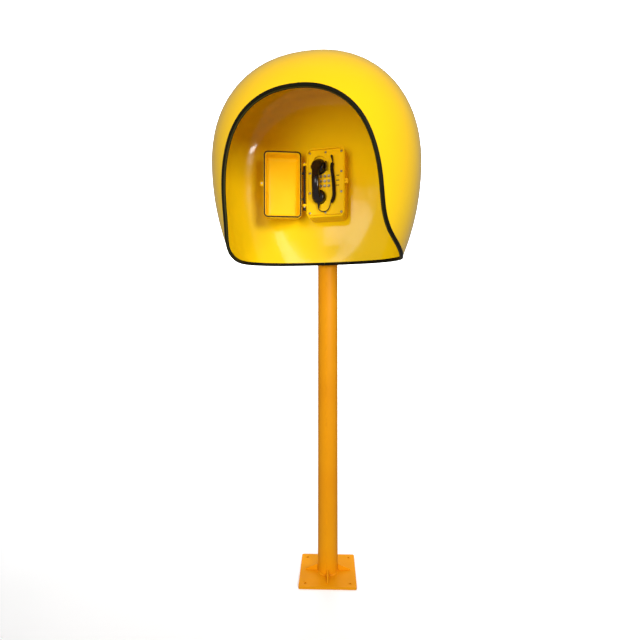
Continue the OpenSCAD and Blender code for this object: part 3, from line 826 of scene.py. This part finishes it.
# %% [markdown]
# ## The handset
# The handle is a bowed bar, wider and flatter where it runs over the ear end, and each end carries a
# turned cup. The bar is a soft-cornered section carried along an arc. Its half width and half
# thickness change along the way, and at both ends they shrink as a quarter circle does, which
# closes the bar in a rounded nose.

# %% Handle
BOW, BOW_OUT, SPAN_MIDDLE, BAR_SHIFT = 145.0, -17.5, 3.0, 8
bow_angle = np.linspace(-np.arcsin(83 / BOW), np.arcsin(87 / BOW), 97)
up_the_bar = (bow_angle - bow_angle[0]) / (bow_angle[-1] - bow_angle[0])
NOSE = 0.13
into_nose = np.maximum(NOSE - up_the_bar, up_the_bar - (1 - NOSE)) / NOSE
nose = np.sqrt(1 - np.clip(into_nose, 0, 0.998) ** 2)


def ease(low, high, values):
    """Nothing before low, one after high, and a smooth S between."""
    t = np.clip((values - low) / (high - low), 0, 1)
    return t * t * (3 - 2 * t)


half_wide = (15.5 + 7.5 * ease(0.66, 0.88, up_the_bar) + 3 * ease(0.26, 0.08, up_the_bar)) * nose
half_thick = (10.2 + 1.0 * ease(0.5, 0.9, up_the_bar)) * nose
bar_middle = GRIP - BAR_SHIFT + 5 * ease(0.7, 0.95, up_the_bar)
section_turn = 2 * np.pi * np.arange(48) / 48


def soft(wave):
    """A wave with fuller crests, which gives the section its soft corners."""
    return np.sign(wave) * np.abs(wave) ** 0.72


spread_out = half_wide[:, None] * soft(np.cos(section_turn))
thickness = BOW + half_thick[:, None] * soft(np.sin(section_turn))
handle_grid = np.stack(
    [
        bar_middle[:, None] + spread_out,
        SPAN_MIDDLE + thickness * np.sin(bow_angle)[:, None],
        BOW_OUT + thickness * np.cos(bow_angle)[:, None],
    ],
    -1,
)
handle = faces_of(on_wall(handle_grid))

# %% [markdown]
# The cups are turned: a straight side with a fine groove where the screwed cap begins, a round
# shoulder, and a dome under the handle. The sleeve where the cord goes in is a tapered rubber cone
# with ribs, whose radius is a cone plus a small wave. At the other end the cord leaves the plate
# through a gland with a boot of the same kind, which follows the cord's own first points.

# %% Cups and sleeve
cup_profile = soften(
    [
        [22, 89.2], [22, 88.6], [28.6, 88.6], [29, 92], [28.2, 92.6], [29, 93.2],
        [29, 101], [23, 109.5], [0.5, 112.3],
    ],
    [0.2, 0.4, 0.3, 0.3, 0.3, 5, 7],
)
cups = [turned(cup_profile / 1000, on_wall([GRIP, up, 0]), OUT, 72) for up in (EAR, MOUTH)]
build(
    "handset_body",
    [handle, *cups],
    resin,
    body="handset",
    instead=["handset_shell"],
    sharp=50,
)
down_the_sleeve = np.linspace(0, 1, 45)
sleeve_radius = 6.6 - 3.6 * down_the_sleeve + 0.35 * np.cos(2 * np.pi * 6.5 * down_the_sleeve)
sleeve_profile = np.stack([sleeve_radius, 22 * down_the_sleeve], -1) / 1000
build(
    "cord_sleeve",
    [turned(sleeve_profile, on_wall([GRIP, MOUTH - 27, 100]), -UP, 40)],
    matt,
    body="handset",
    instead=["handset_sleeve"],
)

# %% Cord gland
GLAND = [27, 106, 0]
gland_profile = soften(
    [[7, 77.5], [7, 81.3], [4.5, 81.3], [4.5, 85.5], [5.2, 85.5], [5, 88], [4, 92.6], [2.1, 93.4]],
    [0.2, 0.2, 0.1, 0.2, 0.5, 1.2],
)
boot_turn = 2 * np.pi * np.arange(24) / 24
boot_path = smooth_path(upper_lead + curl[:1], 61)[8:52]
boot_along = lengths(boot_path) / lengths(boot_path)[-1]
boot_radius = 3.7 - 0.9 * boot_along + 0.2 * np.cos(2 * np.pi * 7.5 * boot_along)
boot_round = np.stack([np.cos(boot_turn), np.sin(boot_turn)], -1)
boot_grid = carried(boot_path, boot_round, RIGHT)
boot_grid = boot_path[:, None] + (boot_grid - boot_path[:, None]) * boot_radius[:, None, None]
build(
    "gland_on_plate",
    [turned(gland_profile / 1000, on_wall(GLAND), OUT, 40), faces_of(on_wall(boot_grid))],
    matt,
    instead=["cord_gland"],
)

# %% [markdown]
# ## The lid
# The lid is a deep tray with a flange round its mouth; the seal sits in a groove of the flange, and a
# narrow bead stands inside it. One profile again: from the middle of the outside, over the outer
# edge, round the flange and the groove, and down the sloping inner wall to the tray's floor.

# %% Lid shell
LID_WIDE, LID_TALL, LID_CORNER = 162, 284, 20
lid_outline = [
    [60, 144], [4, 144], [4, 102.5], [0, 102.5], [0, 92], [1.9, 92], [1.9, 94], [6.6, 94],
    [6.6, 91.6], [9.4, 91.6], [11.5, 96], [14.5, 134], [23, 141], [60, 141],
]
lid_profile = soften(lid_outline, [7, 2.4, 1.2, 0.9, 0.4, 0.4, 0.5, 1.1, 1.3, 2.5, 6.5, 6])
lug = framed(
    soften([[4, 92], [0, 92], [0, 98], [4, 98]], [1, 1]), 20, 18, 5, on_lid, centre=(84.4, 0)
)
build(
    "lid_tray",
    [framed(lid_profile, LID_WIDE, LID_TALL, LID_CORNER, on_lid), lug],
    tray_coat,
    body="lid",
    instead=["lid_shell"],
)

# %% Lid seal
seal_profile = soften(
    [
        [2, 94], [2, 91.9], [1.2, 91.2], [2.6, 90.2],
        [6.4, 90.2], [7.8, 91.2], [6.5, 91.7], [6.5, 94],
    ],
    0.5,
)
build(
    "lid_seal",
    [framed(seal_profile, LID_WIDE, LID_TALL, LID_CORNER, on_lid, along=True)],
    seal,
    body="lid",
    instead=["lid_gasket"],
)

# %% [markdown]
# ## Hinge and latch
# The lid turns on a long steel pin. A black sleeve fixed to the lid runs along it, and a ribbed
# plastic knob below lets the pin be drawn out. The latch is a knurled quarter-turn knob. Ribs and
# knurls are a wave added to the radius all round, so they need no separate pieces.


# %% Ribbed knobs
def ribbed(profile, centre, axis, ribs, deep, along_from, along_to, around=144):
    """A turned piece whose radius also follows a wave round it, between two heights only."""
    points, faces = turned(profile, centre, axis, around)
    axis, offset = unit(axis), points - np.asarray(centre)
    height = offset @ axis
    flat = offset - height[:, None] * axis
    side = unit(np.cross(axis, ASKEW))
    angle = np.arctan2(flat @ np.cross(axis, side), flat @ side)
    inside = (height > along_from) & (height < along_to)
    wave = 1 + deep * np.cos(ribs * angle) * inside
    return np.asarray(centre) + height[:, None] * axis + flat * wave[:, None], faces


knob_profile = soften(
    [[1.5, 0], [5.6, 0], [6, 1], [6, 11], [5.4, 12], [3.1, 12]], [0.6, 0.4, 0.4, 0.6]
) / 1000
build(
    "pin_knob",
    [ribbed(knob_profile, on_wall([HINGE[0], -112, HINGE[1]]), UP, 18, 0.035, 0.0009, 0.0112)],
    matt,
    instead=["hinge_knob"],
)
LATCH = 87.5
latch_centre = on_lid([LATCH, 0, 92])
latch_profile = soften(
    [
        [3, -8], [3, 6.2], [6.1, 6.2], [6.5, 7], [6.5, 10.3], [5.7, 11.1],
        [2.2, 11.2], [1.9, 10.6], [0.3, 10.6],
    ],
    [0.3, 0.3, 0.3, 0.3, 0.6, 0.3, 0.1],
) / 1000
print("latch at", np.round(latch_centre, 3))

# %% [markdown]
# The wing of the knob stands on the knob's face. It is drawn in the lid's measures, then moved
# to the knob. The sleeve on the pin has a flange at each end and two arms that bolt to the lid.

# %% Latch knob and hinge sleeve
wing = framed(
    soften([[1, 102.4], [0, 102.4], [0, 106], [1, 106]], 0.35), 12, 3, 1.4, on_lid, centre=(LATCH, 0)
)
build(
    "latch_button",
    [ribbed(latch_profile, latch_centre, LID_OUT, 24, 0.03, 0.0068, 0.0105), wing],
    steel,
    body="latch",
    instead=["latch_knob"],
)
sleeve_turned = soften(
    [[3.1, 0], [5, 0], [5, 3], [4.6, 3.4], [4.6, 156.6], [5, 157], [5, 160], [3.1, 160]],
    [0.5, 0.3, 0.3, 0.3, 0.3, 0.5],
) / 1000
arm_levels = (50, -60)
arm_profile = soften([[2, 83], [0, 83], [0, 101], [2, 101]], 0.8)
arms = [framed(arm_profile, 10, 8, 1.5, on_lid, centre=(HINGE[0], y)) for y in arm_levels]
foot_profile = soften([[2, 95.2], [0, 95.2], [0, 101], [2, 101]], 0.8)
feet = [framed(foot_profile, 16, 8, 1.5, on_lid, centre=(HINGE[0] + 3, y)) for y in arm_levels]
build(
    "pin_sleeve",
    [turned(sleeve_turned, on_lid([HINGE[0], -85, HINGE[1]]), UP, 48), *arms, *feet],
    matt,
    body="lid",
    instead=["hinge_sleeve"],
)

# %% [markdown]
# ## What keeps its CAD shape
# Plates, brackets, nuts, boards and the parts inside are right as they are: flat plates with drilled
# holes. They only need a finish and a broken edge. The solids come as loose triangles, so a Weld
# joins them first, and a small Bevel then rounds every corner sharper than forty degrees.

# %% Finishes for CAD pieces
kept_finish = {
    "base_plate": pole_coat,
    "base_gussets": pole_coat,
    "lower_saddle": pole_coat,
    "upper_saddle": pole_coat,
    "clamp_straps": pole_coat,
    "mounting_plate": pole_coat,
    "clamp_bolts": zinc,
    "clamp_nuts": zinc,
    "housing_bolts": zinc,
    "housing_nuts": zinc,
    "line_gland": matt,
    "faceplate": phone_coat,
    "faceplate_gasket": seal,
    "keypad_mat": grey,
    "keypad_board": board,
    "cradle": resin,
    "hook_switch": matt,
    "main_board": board,
    "sounder": matt,
    "terminal_block": grey,
    "ear_cap": resin,
    "mouth_cap": resin,
    "receiver_capsule": zinc,
    "microphone_capsule": zinc,
    "handset_magnet": zinc,
    "hinge_pin": steel,
    "latch_keeper": phone_coat,
}
for name, piece in NODES.items():
    material = kept_finish.get(name, matt)
    if not piece.data.materials:
        piece.data.materials.append(material)
    for slot in piece.material_slots:
        slot.link, slot.material = "OBJECT", material
print("CAD pieces with a finish:", len(kept_finish))

# %% Broken edges
edge_width = {
    "base_plate": 0.0012,
    "base_gussets": 0.0008,
    "lower_saddle": 0.001,
    "upper_saddle": 0.001,
    "clamp_straps": 0.001,
    "mounting_plate": 0.001,
    "faceplate": 0.0005,
    "cradle": 0.0008,
    "latch_keeper": 0.0009,
    "clamp_bolts": 0.0005,
    "clamp_nuts": 0.0005,
}
for name, width in edge_width.items():
    weld = NODES[name].modifiers.new("join", "WELD")
    weld.merge_threshold = 0.00002
    bevel = NODES[name].modifiers.new("broken_edge", "BEVEL")
    bevel.width, bevel.segments, bevel.limit_method = width, 2, "ANGLE"
    bevel.angle_limit = np.radians(40)
    bevel.harden_normals = True
print("broken edges on", len(edge_width), "pieces")

# %% [markdown]
# ## Floor and light
# The object stands on a plain white sweep: a floor that curves up into a wall behind, so that no line
# crosses the picture. Glossy yellow shows whatever is round it, and a white room all round would wash
# the colour out of its edges. A studio hangs black cloth there. Here the sweep and the lamps that
# only fill are kept out of the gloss, so a soft panel and a small window draw the hood's shape. The
# sweep also sends no light back, so that the inside of the hood keeps its deep shade.

# %% White sweep
FLOOR_FRONT, FLOOR_BACK, CURVE, WALL_TOP = -7, 2.2, 2.4, 8
sweep_turn = np.linspace(0, np.pi / 2, 24)
sweep_curve = CURVE * np.stack([np.sin(sweep_turn), 1 - np.cos(sweep_turn)], -1)
sweep_line = np.vstack(
    [
        [[FLOOR_FRONT, 0], [FLOOR_BACK, 0]],
        sweep_curve + [FLOOR_BACK, 0],
        [[FLOOR_BACK + CURVE, WALL_TOP]],
    ]
)
sweep_side = np.array([-16.0, 16.0])
sweep_grid = np.stack(
    [
        np.broadcast_to(sweep_side, (len(sweep_line), 2)),
        np.broadcast_to(sweep_line[:, :1], (len(sweep_line), 2)),
        np.broadcast_to(sweep_line[:, 1:], (len(sweep_line), 2)),
    ],
    -1,
)
sweep_points, sweep_faces = faces_of(sweep_grid, around=False, ends=False)
white = finish("white_sweep", (250, 250, 250), (247, 247, 247), 0.8)
white_shader = white.node_tree.nodes["Principled BSDF"]
white_shader.inputs["Emission Color"].default_value = (1, 1, 1, 1)
white_shader.inputs["Emission Strength"].default_value = 0.1
sweep = build("white_sweep", [(sweep_points, [f[::-1] for f in sweep_faces])], white, body=None)
sweep.visible_glossy = False
sweep.visible_diffuse = False


# %% Lamps
def lamp(name, at, towards, size, watts, mirrored=True):
    """A rectangular soft lamp aimed at a point, and whether gloss shows it."""
    data = bpy.data.lights.new(name, "AREA")
    data.shape, data.size, data.size_y = "RECTANGLE", *size
    data.energy = watts
    lamp_object = bpy.data.objects.new(name, data)
    back = unit(np.array(at) - np.array(towards))
    right = unit(np.cross(UP, back))
    turn = np.stack([right, np.cross(back, right), back], 1)
    matrix = np.eye(4)
    matrix[:3, :3], matrix[:3, 3] = turn, at
    lamp_object.matrix_world = Matrix(matrix.tolist())
    lamp_object.visible_glossy = mirrored
    lamp_object.visible_camera = False
    bpy.context.scene.collection.objects.link(lamp_object)


lamp("key_right", (2.1, -3.1, 2.2), (0, -0.2, 1.5), (0.9, 1.3), 82)
lamp("window", (-0.4, -3.0, 2.27), (0, -0.1, 1.6), (0.45, 0.5), 3)
lamp("fill_front", (-0.4, -4.1, 1.05), (0, -0.1, 1.7), (1.7, 1.7), 84, mirrored=False)
lamp("back_fill", (-0.5, 2.4, 2.0), (0, 0, 1.5), (1.6, 1.6), 34, mirrored=False)
lamp("over_top", (0.2, 0.1, 4.4), (0, -0.1, 1.2), (2.4, 2.4), 19, mirrored=False)
lamp("sweep_light", (-3.2, 1.2, 4.6), (-3.2, 4.2, 3.2), (18.0, 0.8), 1250, mirrored=False)
world = bpy.data.worlds.new("pale_studio")
world.use_nodes = True
sky = world.node_tree.nodes["Background"]
sky.inputs["Color"].default_value, sky.inputs["Strength"].default_value = (1, 1, 1, 1), 0.28
bpy.context.scene.world = world
bpy.context.scene.view_settings.view_transform = "Standard"
